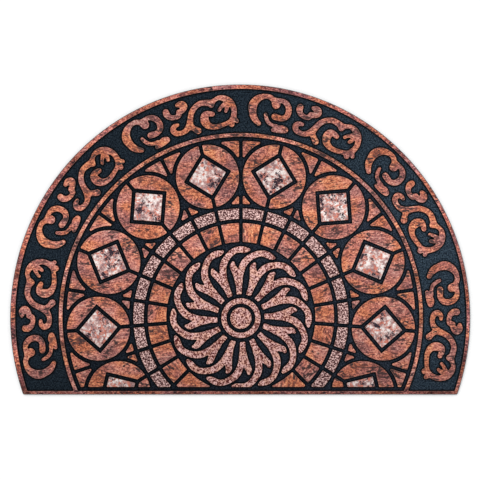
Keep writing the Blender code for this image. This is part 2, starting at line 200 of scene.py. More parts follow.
SCROLL_WAVE = {
    "tail and crown": [
        (-2.0, 398.0, 7.0), (-9.0, 397.0, 9.5), (-13.8, 391.0, 11.5), (-10.0, 383.5, 11.0),
        (-1.0, 380.6, 9.5), (8.0, 381.5, 10.0), (16.0, 386.0, 12.0), (22.0, 393.0, 13.0),
        (26.5, 403.0, 11.0), (33.0, 413.5, 11.0), (44.0, 421.5, 10.5), (55.0, 424.0, 11.0),
        (66.0, 421.5, 12.0), (75.0, 419.0, 12.0), (83.0, 421.5, 8.5), (92.0, 423.3, 9.0),
        (102.0, 419.0, 12.0), (110.5, 410.0, 13.0), (114.0, 399.0, 11.5), (113.5, 389.0, 10.5),
        (108.0, 378.0, 11.0), (99.0, 372.0, 9.0), (88.0, 370.5, 8.5), (76.0, 370.0, 9.5),
        (65.0, 372.0, 10.5), (55.0, 379.0, 14.0), (52.0, 389.0, 17.0), (55.0, 398.0, 15.0),
        (62.0, 400.0, 12.0), (70.5, 396.7, 9.5),
    ],
    "bump": [(74.0, 417.0, 11.0), (74.0, 414.5, 11.0)],
    "foot": [(22.0, 388.0, 11.0), (28.0, 380.0, 11.0), (33.5, 374.5, 13.0)],
    "upper tendril": [
        (106.0, 410.0, 10.0), (97.0, 407.0, 8.0), (90.0, 403.5, 6.5), (86.0, 400.0, 6.5),
    ],
    "lower tendril": [(104.0, 406.0, 9.0), (101.5, 399.0, 8.0), (97.5, 394.0, 6.5)],
    "inner knob": [(101.5, 369.5, 11.0), (101.0, 366.0, 11.0)],
    "outer knob": [(110.0, 374.0, 8.0), (112.5, 369.0, 8.0)],
}
SCROLL_PADS = (SCROLL_ARCH, SCROLL_LEAF, SCROLL_BUD, SCROLL_WAVE)


def srgb(red, green, blue):
    """A colour of the printed finish, given as it looks on screen, in linear light."""
    return tuple(
        (value / 255 / 12.92) if value <= 10 else ((value / 255 + 0.055) / 1.055) ** 2.4
        for value in (red, green, blue)
    )


def colour(name, description, red, green, blue):
    """A colour property of one finish."""
    default = srgb(red, green, blue)
    return FloatVectorProperty(
        name=name, description=description, subtype="COLOR", min=0.0, max=1.0, default=default
    )


def length(name, description, default):
    """A length property in metres."""
    return FloatProperty(
        name=name, description=description, default=default, min=0.0, unit="LENGTH", precision=5
    )


def angle(name, description, degrees):
    """An angle property."""
    return FloatProperty(
        name=name, description=description, default=math.radians(degrees), subtype="ANGLE"
    )


def number(name, description, default, low, high):
    """A whole number property."""
    return IntProperty(name=name, description=description, default=default, min=low, max=high)


class MatSizes(bpy.types.PropertyGroup):
    """Heights of the relief, and how its motifs repeat."""

    ground_top: length("Ground", "Height of the ground between the pads", 0.005)
    pad_top: length("Pads", "Height of the pads' tops", 0.008)
    shoulder: length("Shoulder", "Width of the rounding around a pad's top", 0.0009)
    lean: length("Lean", "How much wider a pad is at its foot", 0.0003)
    root: length("Root", "How deep a pad's wall runs below the ground", 0.0004)
    pattern_shift: length("Pattern shift", "How far the pattern sits to the right of the middle", 0.0015)
    unevenness: length("Unevenness", "Height of the ground's gentle unevenness", 0.00012)
    petals: number("Petals", "Petals in the whirl", 16, 3, 32)
    circles: number("Circles", "Circles around the mosaic", 10, 1, 12)
    scrolls: number("Scrolls", "Scroll units in the border", 6, 1, 6)
    last_groove: number("Grooves", "Radial grooves on each side", 10, 1, 10)
    tile_pitch: angle("Tile pitch", "Angle from tile to tile", 13.5)
    scroll_pitch: angle("Scroll pitch", "Angle from scroll to scroll", 36.3)


class MatColours(bpy.types.PropertyGroup):
    """Colours of the rubber and of the printed flock."""

    # This near black also serves as painted shade on the ground beside the pads
    rubber: colour("Rubber", "Bare rubber beside the pads and at the edge", 4, 5, 7)
    slate: colour("Slate", "The ground away from the pads", 29, 39, 49)
    slate_grain: colour("Slate grain", "Light grains in the ground", 58, 70, 80)
    mosaic_ground: colour("Mosaic ground", "Tint of the ground between the mosaic's pads", 240, 226, 230)
    umber: colour("Umber", "Darkest tone of the copper stone", 91, 60, 58)
    brick: colour("Brick", "Dark streaks in the copper stone", 142, 85, 78)
    copper: colour("Copper", "Main tone of the copper stone", 185, 112, 99)
    blush: colour("Blush", "Light streaks in the copper stone", 212, 137, 116)
    cream: colour("Cream", "Lightest tone of the copper stone", 228, 170, 147)
    fleck: colour("Fleck", "Flecks in the copper stone", 70, 53, 53)
    # A painted highlight: the lighter pile along a pad's shoulder
    edge_highlight: colour("Edge highlight", "The pile along a pad's shoulder", 190, 146, 134)
    orange: colour("Orange", "Tint of the copper stone's warm clouds", 255, 244, 212)
    mauve: colour("Mauve", "Tint of the copper stone's cool clouds", 224, 238, 255)
    border: colour("Border", "Tint of the rims", 242, 228, 240)
    rose_dark: colour("Rose dark", "Darkest specks in the granite", 84, 34, 36)
    rose_speck: colour("Rose speck", "Specks in the granite", 151, 99, 89)
    rose: colour("Rose", "Main tone of the granite", 185, 134, 129)
    rose_light: colour("Rose light", "Lightest tone of the granite", 226, 181, 175)
    dark_speck: colour("Dark speck", "Specks in the speckled tiles", 68, 38, 40)
    pale_stone: colour("Pale stone", "Main tone of the speckled tiles", 158, 117, 113)
    pale_light: colour("Pale light", "Lightest tone of the speckled tiles", 232, 196, 190)
    marble: colour("Marble", "Main tone of the marble", 190, 155, 149)
    marble_light: colour("Marble light", "White patches in the marble", 230, 220, 216)
    marble_pink: colour("Marble pink", "Orange pink patches in the marble", 199, 111, 90)
    marble_grey: colour("Marble grey", "Cool clouds in the marble", 142, 112, 113)
    marble_navy: colour("Marble navy", "Grains in the marble", 51, 42, 50)


class StageLook(bpy.types.PropertyGroup):
    """Floor, light and camera."""

    floor: length("Floor", "Width of the floor", 14.0)
    floor_tone: colour("Floor tone", "Colour of the pale floor", 248, 248, 248)
    sky: FloatProperty(name="Sky", description="Strength of the even light", default=0.62, min=0.0)
    lamp: FloatProperty(name="Lamp", description="Strength of the overhead lamp", default=1.7, min=0.0)
    lens: FloatProperty(name="Lens", description="Focal length in millimetres", default=180.0, min=20.0)
    seen: length("Seen width", "Width of the floor in the picture", 0.9542)
    aim: FloatVectorProperty(
        name="Aim",
        description="Where the camera stands over the mat",
        size=2,
        default=(-0.0003, -0.001),
        unit="LENGTH",
    )


# Outlines


def polar(radius, bearing):
    """The point at this radius, at a bearing in degrees clockwise from the crown."""
    turn = math.radians(bearing)
    return Vector((radius * math.sin(turn), radius * math.cos(turn)))


def mirrored(outline):
    """The outline with left and right changed over, still counter-clockwise."""
    return [Vector((-x, y)) for x, y in reversed(outline)]


def arc(radius, start, end, centre=(0.0, 0.0)):
    """Points along an arc between two bearings, both ends included."""
    chord = min(LONGEST_CHORD, math.sqrt(8 * radius * CHORD_ERROR))
    pieces = max(1, math.ceil(math.radians(abs(end - start)) * radius / chord))
    turn = (end - start) / pieces
    return [Vector(centre) + polar(radius, start + turn * step) for step in range(pieces + 1)]


def circle(radius):
    """A whole circle about the mosaic's centre, counter-clockwise."""
    return arc(radius, 0.0, -360.0)[:-1]


def bearing_at_height(radius, height):
    """Where an arc comes down to a height: the bearing on the clockwise side."""
    return math.degrees(math.acos(height / radius))


def segment(radius, foot):
    """A half moon: the part of a disc above a straight foot."""
    end = bearing_at_height(radius, foot)
    return arc(radius, end, -end)


def corners_of(outline, radius):
    """Each corner, the steps to its neighbours, and how far an arc reaches from it where it is sharp."""
    for index, corner in enumerate(outline):
        back = outline[index - 1] - corner
        ahead = outline[(index + 1) % len(outline)] - corner
        opening = back.angle(ahead)
        is_sharp = math.degrees(math.pi - opening) >= SHARP_TURN
        yield corner, back, ahead, radius / math.tan(opening / 2) if is_sharp else 0.0


def rounded(outline, radius):
    """The outline with an arc of this radius in place of each sharp corner."""
    sharp = [(corner, reach) for corner, _, _, reach in corners_of(outline, radius) if reach]
    cleared = [
        corner
        for corner, _, _, reach in corners_of(outline, radius)
        if reach or all((corner - other).length > ARC_CLEARANCE * clear for other, clear in sharp)
    ]
    reaches = [reach for _, _, _, reach in corners_of(cleared, radius)]
    softened = []
    for index, (corner, back, ahead, reach) in enumerate(corners_of(cleared, radius)):
        if not reach:
            softened.append(corner)
            continue
        for step, other in ((back, reaches[index - 1]), (ahead, reaches[(index + 1) % len(reaches)])):
            reach = min(reach, step.length * (SHARED_SHARE if other else LONE_SHARE))
        first = corner + back.normalized() * reach
        last = corner + ahead.normalized() * reach
        pull = math.sin(back.angle(ahead) / 2)
        for step in range(TIP_STEPS + 1):
            share = step / TIP_STEPS
            ends = (1 - share) ** 2 * first + share**2 * last
            weight = 2 * share * (1 - share) * pull
            softened.append((ends + corner * weight) / ((1 - share) ** 2 + share**2 + weight))
    return softened


def above(outline, foot):
    """The part of an outline above a straight foot, or nothing."""
    kept = []
    for index, point in enumerate(outline):
        before = outline[index - 1]
        if (before.y > foot) != (point.y > foot):
            kept.append(before.lerp(point, (foot - before.y) / (point.y - before.y)))
        if point.y > foot:
            kept.append(point)
    return kept


def tile(radii, first, last):
    """A pad between two radial grooves, whose sides run parallel to them."""
    inner, outer = radii
    inner_inset = math.degrees(math.asin(GROOVE / 2 / inner))
    outer_inset = math.degrees(math.asin(GROOVE / 2 / outer))
    side = arc(inner, first + inner_inset, last - inner_inset)
    return arc(outer, last - outer_inset, first + outer_inset) + side


def circle_half():
    """The clockwise half of a circle, with half of the diamond opening cut out of its straight side."""
    side = GROOVE / 2
    end = math.degrees(math.asin(side / CIRCLE_RADIUS))
    centre = (0.0, CIRCLE_PLACE)
    opening = [(side, DIAMOND_OPENING - side), (DIAMOND_OPENING, 0.0), (side, side - DIAMOND_OPENING)]
    return arc(CIRCLE_RADIUS, 180 - end, end, centre) + [Vector((x, CIRCLE_PLACE + y)) for x, y in opening]


def diamond():
    """The marble pad in the middle of a circle."""
    return [polar(DIAMOND, -90.0 * step) + Vector((0.0, CIRCLE_PLACE)) for step in range(4)]


def spandrel(pitch, border, outwards):
    """A three-cornered pad clockwise of the groove between two circles, up to a border's radius."""
    side = GROOVE / 2
    centre = polar(CIRCLE_PLACE, pitch)
    reach = CIRCLE_RADIUS + SPANDREL_CLEARANCE
    tip = math.degrees(math.asin((centre.x - side) / reach))
    along = (CIRCLE_PLACE**2 + border**2 - reach**2) / (2 * CIRCLE_PLACE * border)
    meeting = polar(border, pitch - math.degrees(math.acos(along)))
    offset = meeting - centre
    end = math.degrees(math.atan2(-offset.x, abs(offset.y)))
    border_start = math.degrees(math.asin(side / border))
    border_end = math.degrees(math.atan2(meeting.x, meeting.y))
    if outwards:
        hollow = arc(reach, -tip, -end, centre)
        edge = arc(border, border_end, border_start)[1:]
    else:
        hollow = arc(reach, end - 180.0, tip - 180.0, centre)
        edge = arc(border, border_start, border_end)[:-1]
    return hollow + edge


def curve_through(stations):
    """A smooth line through the stations, as rows of across, out and half width."""
    rows = np.array(stations, float)
    rows[:, 2] /= 2
    padded = np.vstack([2 * rows[0] - rows[1], rows, 2 * rows[-1] - rows[-2]])
    line = []
    for p0, p1, p2, p3 in zip(padded, padded[1:], padded[2:], padded[3:]):
        for t in np.arange(CURVE_STEPS) / CURVE_STEPS:
            bend = (2 * p0 - 5 * p1 + 4 * p2 - p3) * t**2 + (3 * p1 - p0 - 3 * p2 + p3) * t**3
            line.append(p1 + ((p2 - p0) * t + bend) / 2)
    line.append(rows[-1])
    return np.array(line)


def outside_by(points, stations):
    """How far each point lies outside a stroke, and below zero within it."""
    line = curve_through(stations)
    nearest = np.full(len(points), np.inf)
    for start, end in zip(line, line[1:]):
        run = end[:2] - start[:2]
        share = np.clip((points - start[:2]) @ run / (run @ run), 0.0, 1.0)
        gap = np.linalg.norm(points - start[:2] - share[:, None] * run, axis=1)
        nearest = np.minimum(nearest, gap - start[2] - share * (end[2] - start[2]))
    return nearest


def merged(points, strokes):
    """How far each point lies outside a pad made of strokes, whose inner corners are filled."""
    together = np.full(len(points), np.inf)
    for stations in strokes.values():
        single = outside_by(points, stations)
        overlap = np.maximum(FILLET - np.abs(together - single), 0.0)
        together = np.minimum(together, single) - overlap**2 / (4 * FILLET)
    return together


def crossing(first, second):
    """How far each point lies outside the crossing of two shapes, whose corners are rounded."""
    first, second = first + TIP_RADIUS, second + TIP_RADIUS
    past = np.hypot(np.maximum(first, 0.0), np.maximum(second, 0.0))
    return past + np.minimum(np.maximum(first, second), 0.0) - TIP_RADIUS


def pad_of(strokes, root=0.0):
    """The outline around strokes, beyond a root radius: where a grid of distances from them crosses zero."""
    rows = np.array([station for stations in strokes.values() for station in stations])
    margin = rows[:, 2].max() / 2 + 4 * CELL
    low = rows[:, :2].min(axis=0) - margin
    size = rows[:, :2].max(axis=0) + margin - low
    columns, lines = (int(math.ceil(side / CELL)) for side in size)
    grid = bmesh.new()
    bmesh.ops.create_grid(grid, x_segments=columns, y_segments=lines, size=0.5)
    places = np.array([vertex.co.xy for vertex in grid.verts])
    places = low + (places + 0.5) * size
    heights = crossing(merged(places, strokes), root - np.linalg.norm(places, axis=1))
    for vertex, place, height in zip(grid.verts, places, heights):
        vertex.co = (*place, height)
    bmesh.ops.triangulate(grid, faces=grid.faces[:])
    whole = grid.verts[:] + grid.edges[:] + grid.faces[:]
    bmesh.ops.bisect_plane(grid, geom=whole, plane_co=(0, 0, 0), plane_no=(0, 0, 1), clear_outer=True)
    outline = simplified(longest_border(grid), STROKE_ERROR)
    grid.free()
    return outline


def longest_border(mesh):
    """The longest closed border of a flat mesh, counter-clockwise."""
    after = {}
    for edge in mesh.edges:
        if edge.is_boundary:
            loop = edge.link_loops[0]
            after[loop.vert] = loop.link_loop_next.vert
    borders = []
    while after:
        vertex = next(iter(after))
        border = []
        while vertex in after:
            border.append(vertex.co.xy)
            vertex = after.pop(vertex)
        borders.append(border)
    return max(borders, key=len)


def simplified(outline, error):
    """The fewest points of a closed outline that stay within an error of it."""
    far = max(range(len(outline)), key=lambda index: (outline[index] - outline[0]).length)
    return thinned(outline[: far + 1], error)[:-1] + thinned(outline[far:] + outline[:1], error)[:-1]


def thinned(line, error):
    """The fewest points of an open line that stay within an error of it, with both its ends."""
    start, end = line[0], line[-1]
    run = (end - start).normalized()
    gaps = [abs(run.cross(point - start)) for point in line]
    worst = max(range(len(line)), key=gaps.__getitem__)
    if gaps[worst] <= error:
        return [start, end]
    return thinned(line[: worst + 1], error)[:-1] + thinned(line[worst:], error)


# Repeating and raising


def ring_tree():
    """Geometry Nodes that repeat flat pads around the mosaic's centre, then stretch and shift the ring."""
    tree = bpy.data.node_groups.get("pad ring")
    if tree:
        return tree
    tree = bpy.data.node_groups.new("pad ring", "GeometryNodeTree")
    inputs = {
        "Pads": "Geometry",
        "Count": "Int",
        "Pitch": "Float",
        "First": "Float",
        "Stretch": "Vector",
        "Shift": "Vector",
        "Finish": "Material",
    }
    for name, kind in inputs.items():
        tree.interface.new_socket(name=name, in_out="INPUT", socket_type="NodeSocket" + kind)
    tree.interface.new_socket(name="Ring", in_out="OUTPUT", socket_type="NodeSocketGeometry")

    def node(kind, values, **settings):
        made = tree.nodes.new(kind)
        for name, value in settings.items():
            setattr(made, name, value)
        for name, value in values.items():
            if isinstance(value, bpy.types.NodeSocket):
                tree.links.new(value, made.inputs[name])
            else:
                made.inputs[name].default_value = value
        return made.outputs

    given = node("NodeGroupInput", {})
    index = node("GeometryNodeInputIndex", {})[0]
    points = node("GeometryNodePoints", {"Count": given["Count"]})[0]
    values = {0: index, 1: given["Pitch"], 2: given["First"]}
    turn = node("ShaderNodeMath", values, operation="MULTIPLY_ADD")[0]
    clockwise = node("ShaderNodeMath", {0: turn, 1: -1.0}, operation="MULTIPLY")[0]
    rotation = node("ShaderNodeCombineXYZ", {"Z": clockwise})[0]
    values = {"Points": points, "Instance": given["Pads"], "Rotation": rotation}
    ring = node("GeometryNodeInstanceOnPoints", values)[0]
    whole = node("GeometryNodeRealizeInstances", {"Geometry": ring})[0]
    values = {"Geometry": whole, "Scale": given["Stretch"], "Translation": given["Shift"]}
    moved = node("GeometryNodeTransform", values)[0]
    finished = node("GeometryNodeSetMaterial", {"Geometry": moved, "Material": given["Finish"]})[0]
    node("NodeGroupOutput", {"Ring": finished})
    return tree


def ring_of(outlines, finish, sizes, count=1, pitch=0.0, first=None, drop=0.0):
    """Outlines repeated by the ring tree about the crown, or on from a first angle, in metres."""
    if first is None:
        first = -pitch * (count - 1) / 2
    corners = [(x * MM, y * MM, 0.0) for outline in outlines for x, y in outline]
    faces = []
    for outline in outlines:
        start = faces[-1][-1] + 1 if faces else 0
        faces.append(list(range(start, start + len(outline))))
    flat = bpy.data.meshes.new("flat pads")
    flat.from_pydata(corners, [], faces)
    carrier = bpy.data.objects.new("flat pads", flat)
    bpy.context.scene.collection.objects.link(carrier)
    modifier = carrier.modifiers.new("ring", "NODES")
    modifier.node_group = ring_tree()
    values = {
        "Count": count,
        "Pitch": pitch,
        "First": first,
        "Stretch": (1.0, DEPTH_STRETCH, 1.0),
        "Shift": (sizes.pattern_shift, ARC_CENTRE.y - drop * MM * DEPTH_STRETCH, 0.0),
        "Finish": finish,
    }
    for item in modifier.node_group.interface.items_tree:
        if item.in_out == "INPUT" and item.name in values:
            modifier[item.identifier] = values[item.name]
    seen = carrier.evaluated_get(bpy.context.evaluated_depsgraph_get())
    ring = bpy.data.meshes.new_from_object(seen)
    found = [[ring.vertices[index].co.xy for index in face.vertices] for face in ring.polygons]
    bpy.data.objects.remove(carrier)
    bpy.data.meshes.remove(flat)
    bpy.data.meshes.remove(ring)
    return found


def placed(outline, shift=0.0):
    """An outline of the border in its place on the floor, in metres."""
    return [Vector((x * MM + shift, y * MM * DEPTH_STRETCH)) + ARC_CENTRE for x, y in outline]


def mitres(loop):
    """For each corner of a loop, the step that moves both its sides inwards by one metre."""
    back = loop - np.roll(loop, 1, axis=0)
    back /= np.linalg.norm(back, axis=1)[:, None]
    ahead = np.roll(back, -1, axis=0)
    across = back + ahead
    inward = np.stack([-across[:, 1], across[:, 0]], axis=1)
    return inward / np.maximum(SHARPEST, 1 + (back * ahead).sum(axis=1))[:, None]


def filled(places, loops):
    """Triangles between the first loop and its holes, the other loops. The places start with the loops'."""
    faces = []
    start = 0
    for loop in loops:
        names = list(range(start, start + len(loop)))
        faces.append(names[::-1] if faces else names)
        start += len(loop)
    spots, _, triangles, sources, _, around = delaunay_2d_cdt(places, [], faces, 1, MERGED)
    kept = [triangle for triangle, containers in zip(triangles, around) if containers == [0]]
    return spots, sources, kept


def widest_inset(loops, steps, inset):
    """The share of an inset that a narrow pad takes without folding over itself."""
    full = sum(len(loop) for loop in loops) + 2 * len(loops) - 4
    for share in SHARES:
        rim = [Vector(point) for loop, step in zip(loops, steps) for point in loop + step * inset * share]
        if len(filled(rim, loops)[2]) == full:
            return share
    raise RuntimeError("a pad is too narrow for its shoulder")


class Form:
    """A mesh in the making, with how far each point lies inside its pad and how that pad's print is cut."""

    def __init__(self):
        self.points = []
        self.faces = []
        self.inside = []
        self.cut = []

    def shell(self, loops, profile, cut=(0.0, 0.0, 0.0), lattice=()):
        """Adds a closed form: loops carried through a profile of inset and height, capped at both ends."""
        loops = [np.array(loop, float) for loop in loops]
        steps = [mitres(loop) for loop in loops]
        ring_size = sum(len(loop) for loop in loops)
        start = len(self.points)
        share = widest_inset(loops, steps, profile[-1][0])
        for inset, height in profile:
            for loop, step in zip(loops, steps):
                self.points += [(x, y, height) for x, y in loop + step * inset * share]
            self.inside += [inset] * ring_size
        offset = start
        for loop in loops:
            count = len(loop)
            for level in range(len(profile) - 1):
                low = offset + level * ring_size
                high = low + ring_size
                self.faces += [
                    (low + index, low + (index + 1) % count, high + (index + 1) % count, high + index)
                    for index in range(count)
                ]
            offset += count
        self.cap(start, loops, [], profile[0][1], down=True)
        self.cap(start + ring_size * (len(profile) - 1), loops, lattice, profile[-1][1], down=False)
        self.inside += [profile[-1][0]] * (len(self.points) - len(self.inside))
        self.cut += [cut] * (len(self.points) - len(self.cut))

    def cap(self, start, loops, lattice, height, down):
        """Fills the ring that starts at this point with triangles, through the lattice's points."""
        ring_size = sum(len(loop) for loop in loops)
        rim = [Vector(point[:2]) for point in self.points[start : start + ring_size]]
        spots, sources, triangles = filled(rim + list(lattice), loops)
        index_of = []
        for spot, source in zip(spots, sources):
            if source and source[0] < ring_size:
                index_of.append(start + source[0])
            else:
                index_of.append(len(self.points))
                self.points.append((spot.x, spot.y, height))
        for triangle in triangles:
            corners = [index_of[index] for index in triangle]
            self.faces.append(corners[::-1] if down else corners)

    def mesh(self, name, material):
        """The finished mesh, with its two attributes."""
        made = bpy.data.meshes.new(name)
        made.from_pydata(self.points, [], self.faces)
        made.attributes.new("inside", "FLOAT", "POINT").data.foreach_set(
            "value", np.array(self.inside, np.float32) / MM
        )
        made.attributes.new("cut", "FLOAT_VECTOR", "POINT").data.foreach_set(
            "vector", np.array(self.cut, np.float32).ravel()
        )
        made.materials.append(material)
        made.polygons.foreach_set("use_smooth", np.ones(len(made.polygons), bool))
        made.set_sharp_from_angle(angle=math.radians(SMOOTHEST))
        return made


def pad_profile(sizes):
    """Steps of inset and height up a pad's wall, over its rounded shoulder and onto its top."""
    top, ground, soft = sizes.pad_top, sizes.ground_top, sizes.shoulder
    steps = [(-sizes.lean, ground - sizes.root), (0.0, top - soft)]
    steps += [(soft * (1 - math.cos(turn)), top - soft * (1 - math.sin(turn))) for turn in SHOULDER_TURNS]
    return steps + [(PLATEAU * soft, top)]


def add_piece(name, mesh):
    """A finished piece that rides on the mat."""
    piece = bpy.data.objects.new(name, mesh)
    bpy.context.scene.collection.objects.link(piece)
    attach(piece, "root")
    return piece


OUTLINES = []  # their outlines on the floor, which tell the ground how near they are


def finish_pads(name, form, material, outlines):
    """A finished piece of pads, noted for the moulding that carries it."""
    add_piece(name, form.mesh(name, material))
    OUTLINES.extend(outlines)


def add_pads(name, outlines, material, sizes, quarter_turns=False):
    """One piece of raised pads. Each pad's print is cut from its own part of the stone."""
    chance = random.Random(f"{name} {SEED}")
    form = Form()
    for outline in outlines:
        turn = chance.gauss(0.0, SLANT)
        if quarter_turns and chance.random() < TURNED_SHARE:
            turn += chance.choice((-1.0, 1.0)) * chance.uniform(*TURNS)
        cut = (chance.uniform(-STONE, STONE), chance.uniform(-STONE, STONE), turn)
        form.shell([outline], pad_profile(sizes), cut)
    finish_pads(name, form, material, outlines)


# Finishes


class Value:
    """A socket of a material, whose arithmetic adds Math nodes."""

    def __init__(self, finish, socket):
        self.finish = finish
        self.socket = socket

    def math(self, operation, *values):
        """The result of a Math node."""
        return self.finish.add("ShaderNodeMath", {"operation": operation}, dict(enumerate(values)))

    def __add__(self, other):
        return self.math("ADD", self, other)

    def __radd__(self, other):
        return self.math("ADD", other, self)

    def __sub__(self, other):
        return self.math("SUBTRACT", self, other)

    def __rsub__(self, other):
        return self.math("SUBTRACT", other, self)

    def __mul__(self, other):
        return self.math("MULTIPLY", self, other)

    def __rmul__(self, other):
        return self.math("MULTIPLY", other, self)

    def __abs__(self):
        return self.math("ABSOLUTE", self)


class Finish:
    """A material in the making."""

    def __init__(self, name):
        self.material = bpy.data.materials.new(name)
        self.material.use_nodes = True
        self.tree = self.material.node_tree
        self.surface = self.tree.nodes["Principled BSDF"]

    def add(self, kind, settings=None, values=None, output=0):
        """A node: its settings first, then the values or links of its sockets."""
        node = self.tree.nodes.new(kind)
        for name, value in (settings or {}).items():
            setattr(node, name, value)
        for name, value in (values or {}).items():
            self.feed(node.inputs[name], value)
        return Value(self, node.outputs[output])

    def feed(self, socket, value):
        """Links a socket, or sets its value."""
        if isinstance(value, Value):
            self.tree.links.new(value.socket, socket)
        elif hasattr(value, "__len__"):
            size = len(socket.default_value)
            socket.default_value = (*value, 1.0)[:size] if size == 4 else tuple(value)
        else:
            socket.default_value = value

    def vector(self, operation, values, output=0):
        """The result of a Vector Math node."""
        return self.add("ShaderNodeVectorMath", {"operation": operation}, values, output)

    def place(self):
        """Object coordinates in millimetres."""
        there = self.add("ShaderNodeTexCoord", output="Object")
        return self.scaled(there, (1 / MM, 1 / MM, 1 / MM))

    def scaled(self, vector, factors):
        """A vector stretched along each axis."""
        return self.vector("MULTIPLY", {0: vector, 1: factors})

    def along(self, place, axis):
        """One coordinate of a place."""
        return self.add("ShaderNodeSeparateXYZ", values={0: place}, output=axis)

    def out(self, place):
        """How far a place lies from the mosaic's centre, in millimetres."""
        middle = (0.0, ARC_CENTRE.y / MM, 0.0)
        return self.vector("DISTANCE", {0: place, 1: middle}, output="Value")

    def cut_place(self):
        """Where this pad's print is cut from the stone: turned and moved by the pad's own amounts."""
        cut = self.add("ShaderNodeAttribute", {"attribute_name": "cut"}, output="Vector")
        values = {"Vector": self.place(), "Angle": self.along(cut, "Z")}
        turned = self.add("ShaderNodeVectorRotate", {"rotation_type": "Z_AXIS"}, values)
        return self.vector("ADD", {0: turned, 1: cut})

    def noise(self, place, grain, stretch=1.0, detail=2.0, rough=0.5, distortion=0.0):
        """Clouds of about this grain in millimetres, from 0 to 1, drawn out sideways by the stretch."""
        factors = (1 / (grain * stretch), 1 / grain, 1 / grain)
        values = {"Scale": 1.0, "Detail": detail, "Roughness": rough, "Distortion": distortion}
        return self.add("ShaderNodeTexNoise", values={"Vector": self.scaled(place, factors), **values})

    def veins(self, place, grain, stretch, width):
        """Thin wandering lines: 1 on them and 0 beside them."""
        level = self.noise(place, grain, stretch, detail=1.0, distortion=0.4)
        return self.step(abs(level - 0.5), width, width * 0.5)

    def step(self, value, low, high):
        """A soft step from 0 at low to 1 at high, or back down where low is larger."""
        values = {"Value": value, "From Min": low, "From Max": high}
        return self.add("ShaderNodeMapRange", {"interpolation_type": "SMOOTHSTEP"}, values)

    def blend(self, share, first, second, kind="MIX"):
        """From the first colour to the second."""
        settings = {"data_type": "RGBA", "blend_type": kind, "clamp_factor": True}
        return self.add("ShaderNodeMix", settings, {0: share, 6: first, 7: second}, output=2)

    def tinted(self, paint, tint, share=1.0):
        """A colour times another one."""
        return self.blend(share, paint, tint, "MULTIPLY")

    def shaded(self, paint, amount):
        """A colour made lighter or darker by a value around 1."""
        return self.vector("SCALE", {0: paint, "Scale": amount})

    def tones(self, value, places, tones):
        """The tones of a stone, each at its own place between 0 and 1."""
        ramp = self.tree.nodes.new("ShaderNodeValToRGB")
        marks = ramp.color_ramp.elements
        while len(marks) < len(tones):
            marks.new(0.5)
        for mark, place, tone in zip(marks, places, tones):
            mark.position = place
            mark.color = (*tone, 1.0)
        self.feed(ramp.inputs[0], value)
        return Value(self, ramp.outputs[0])

    def painted_light(self, place):
        """The mat's overall painted light and shade: a painted band of light across the middle, painted
        shade towards the foot.
        """
        height = self.along(place, "Y")
        lit_band = self.step(height, *LIT_BAND_ABOVE) * self.step(height, *LIT_BAND_BELOW)
        return 1.05 + lit_band * 0.16 - self.step(height, *DARK_BELOW) * 0.22

    def surfaced(self, paint, roughness, constants):
        """Feeds the surface's colour and roughness, and sets what is the same all over."""
        self.feed(self.surface.inputs["Base Color"], paint)
        self.feed(self.surface.inputs["Roughness"], roughness)
        for name, value in constants.items():
            self.surface.inputs[name].default_value = value

    def bump(self, height, depth):
        """A bumpy surface, as deep as this in metres where the height goes from 0 to 1."""
        values = {"Strength": 1.0, "Distance": depth, "Height": height}
        self.feed(self.surface.inputs["Normal"], self.add("ShaderNodeBump", values=values))

    def flock(self, paint, colours):
        """Finishes a printed flock: the print on its pile, and bare rubber on the pad's walls."""
        place = self.place()
        pile = self.noise(place, PILE_GRAIN, detail=1.0)
        inside = self.add("ShaderNodeAttribute", {"attribute_name": "inside"}, output="Fac")
        bare = self.step(inside, *BARE_EDGE)
        # Painted highlight along the pad's shoulder
        edge = self.step(inside, *EDGE_HIGHLIGHT) * 0.35
        # Painted light across the middle and painted shade towards the foot, times the pile's grain
        light = self.painted_light(place) * (0.35 + pile * 1.3)
        printed = self.shaded(self.blend(edge, paint, colours.edge_highlight), light)
        constants = {
            "Specular IOR Level": 0.04,
            "Sheen Weight": 0.03,
            "Sheen Roughness": 0.4,
            "Sheen Tint": (1.0, 0.86, 0.78, 1.0),
        }
        self.surfaced(self.blend(bare, printed, colours.rubber), 0.86 + pile * 0.14, constants)
        self.bump(pile, PILE_DEPTH)
        return self.material


def copper_stone(finish, colours, place, contrast=1.0):
    """Copper stone: streaked tones, warm and cool clouds, thin dark dashes and clusters of dark flecks."""
    broad = finish.noise(place, 46.0, 1.5, detail=1.0)
    streaks = finish.noise(place, 4.0, 2.0, detail=3.0, rough=0.6, distortion=0.3)
    grain = finish.noise(place, 2.6, 1.3, rough=0.6)
    tones = (colours.umber, colours.brick, colours.copper, colours.blush, colours.cream)
    texture = (streaks * 2.0 + grain * 2.2 - 2.1) * contrast
    paint = finish.tones(broad * 0.8 + 0.1 + texture, (0.0, 0.26, 0.5, 0.74, 1.0), tones)
    hue = finish.noise(place, 38.0, 1.6)
    paint = finish.tinted(paint, colours.orange, finish.step(hue, 0.44, 0.62))
    paint = finish.tinted(paint, colours.mauve, finish.step(hue, 0.48, 0.34))
    veined = finish.noise(place, 15.0, 1.6, detail=1.0)
    veins = finish.veins(place, 7.0, 3.4, 0.07) * finish.step(veined, 0.48, 0.6)
    paint = finish.blend(veins * 0.8, paint, colours.umber)
    cluster = finish.noise(place, 17.0, 1.6)
    flecks = finish.veins(place, 5.6, 2.6, 0.11) * finish.step(cluster, 0.57, 0.62)
    return finish.blend(flecks, paint, colours.fleck)


def copper_flock(colours):
    """The flock of the circles, tiles and scrolls."""
    finish = Finish("copper flock")
    return finish.flock(copper_stone(finish, colours, finish.cut_place()), colours)


